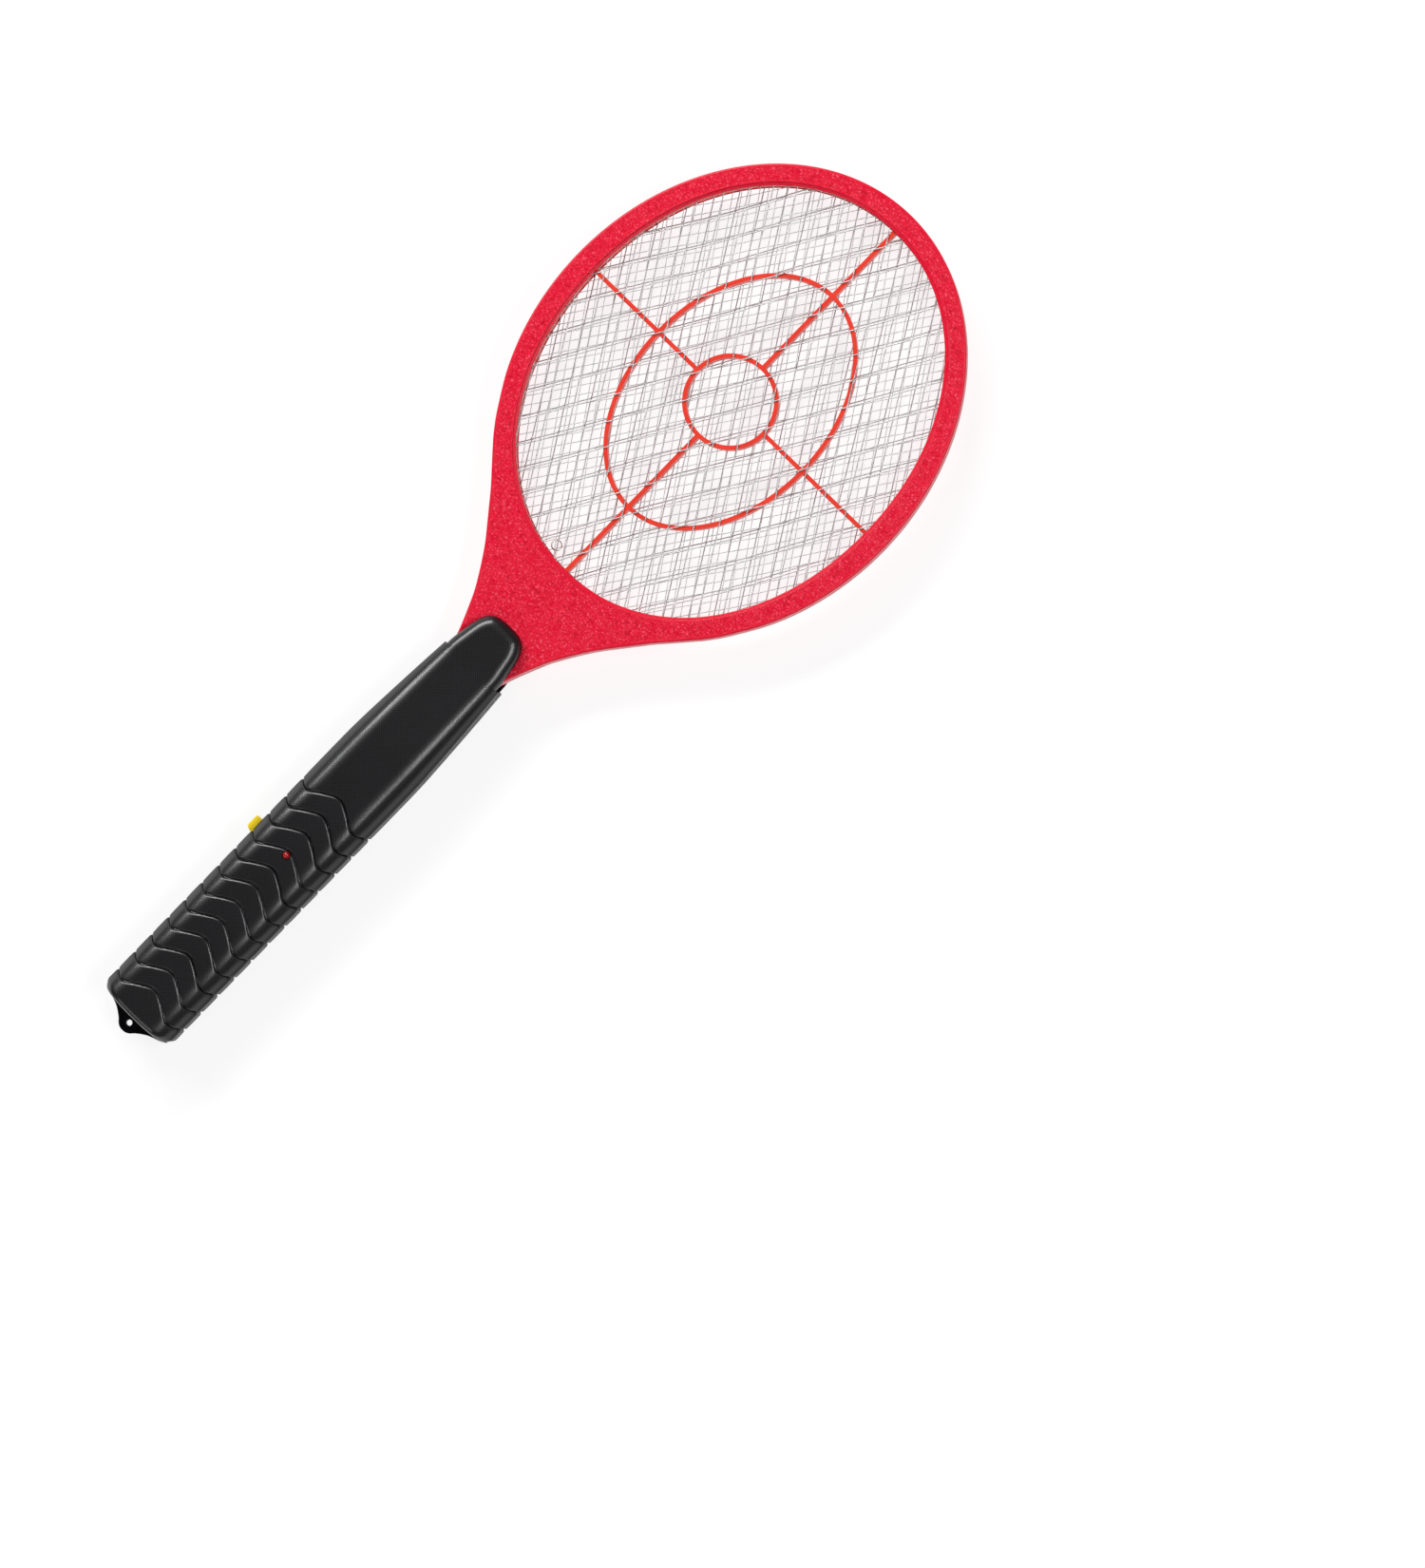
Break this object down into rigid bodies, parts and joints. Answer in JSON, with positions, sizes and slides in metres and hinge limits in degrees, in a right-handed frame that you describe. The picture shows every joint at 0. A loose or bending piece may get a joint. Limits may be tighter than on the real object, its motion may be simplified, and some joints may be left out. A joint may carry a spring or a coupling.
{
  "type": "electric fly swatter",
  "caption": "Racket-shaped battery insect swatter: oval head with a stack of wire nets, narrow neck and ribbed two-shell handle with a push button on its edge.",
  "frame": {"origin": "middle of the bottom of the bounding box, with the racket lying on its back; the floor is z=0", "axes": "+Y from the hanging lug to the head's tip, +Z out of the front face, +X across; the button is on the -X edge"},
  "size_m": [0.1654, 0.4402, 0.0281],
  "materials": {
    "red_frame": "crimson plastic, leather-like grain on the faces",
    "spacer_orange": "orange-red plastic, smooth",
    "net_steel": "bright expanded metal",
    "handle_black": "black ABS, fine texture, satin",
    "button_yellow": "yellow plastic",
    "led_red": "red tinted clear resin",
    "switch_black": "moulded",
    "board_brown": "phenolic board",
    "ferrite": "dark ferrite",
    "bobbin_white": "moulded",
    "copper_wire": "enamelled copper winding",
    "capacitor_film": "dipped film capacitor",
    "ceramic_blue": "dipped ceramic disc",
    "diode_black": "moulded with a pale band",
    "resistor_tan": "lacquered",
    "contact_steel": "nickel-plated spring steel",
    "cell_wrap": "plain cell wrap",
    "wire_red": "insulated wire",
    "wire_black": "insulated wire",
    "wire_white": "insulated wire",
    "screw_steel": "zinc-plated self-tapping screw"
  },
  "bodies": {
    "racket": {"front_frame": "red_frame", "rear_frame": "red_frame", "front_net": "net_steel", "middle_net": "net_steel", "rear_net": "net_steel", "front_spacer": "spacer_orange", "rear_spacer": "spacer_orange", "net_contact_ring": "contact_steel", "net_tabs": "contact_steel", "front_net_lead": "wire_black", "middle_net_lead": "wire_white", "rear_net_lead": "wire_black", "front_shell": "handle_black", "rear_shell": "handle_black", "switch_body": "switch_black", "indicator_led": "led_red", "transformer_core": "ferrite", "transformer_bobbin": "bobbin_white", "transformer_winding": "copper_wire", "hv_capacitor": "capacitor_film", "ceramic_capacitors": "ceramic_blue", "rectifier_diodes": "diode_black", "resistors": "resistor_tan", "transistor": "diode_black", "circuit_board": "board_brown", "battery_left": "cell_wrap", "battery_right": "cell_wrap", "battery_bridge": "contact_steel", "positive_contact": "contact_steel", "negative_contact": "contact_steel", "battery_springs": "contact_steel", "battery_lead_red": "wire_red", "battery_lead_black": "wire_black", "shell_screws": "screw_steel", "neck_screws": "screw_steel", "board_screws": "screw_steel"},
    "button": {"push_button": "button_yellow", "switch_plunger": "bobbin_white"},
    "cover": {"battery_cover": "handle_black"}
  },
  "joints": [
    {"name": "button_press", "type": "slide", "parent": "racket", "child": "button", "axis": [1, 0, 0], "range_m": [0, 0.0015], "stiffness_N_per_m": 600, "springref_m": -0.002},
    {"name": "cover_slide", "type": "slide", "parent": "racket", "child": "cover", "axis": [0, -1, 0], "range_m": [0, 0.064]}
  ]
}
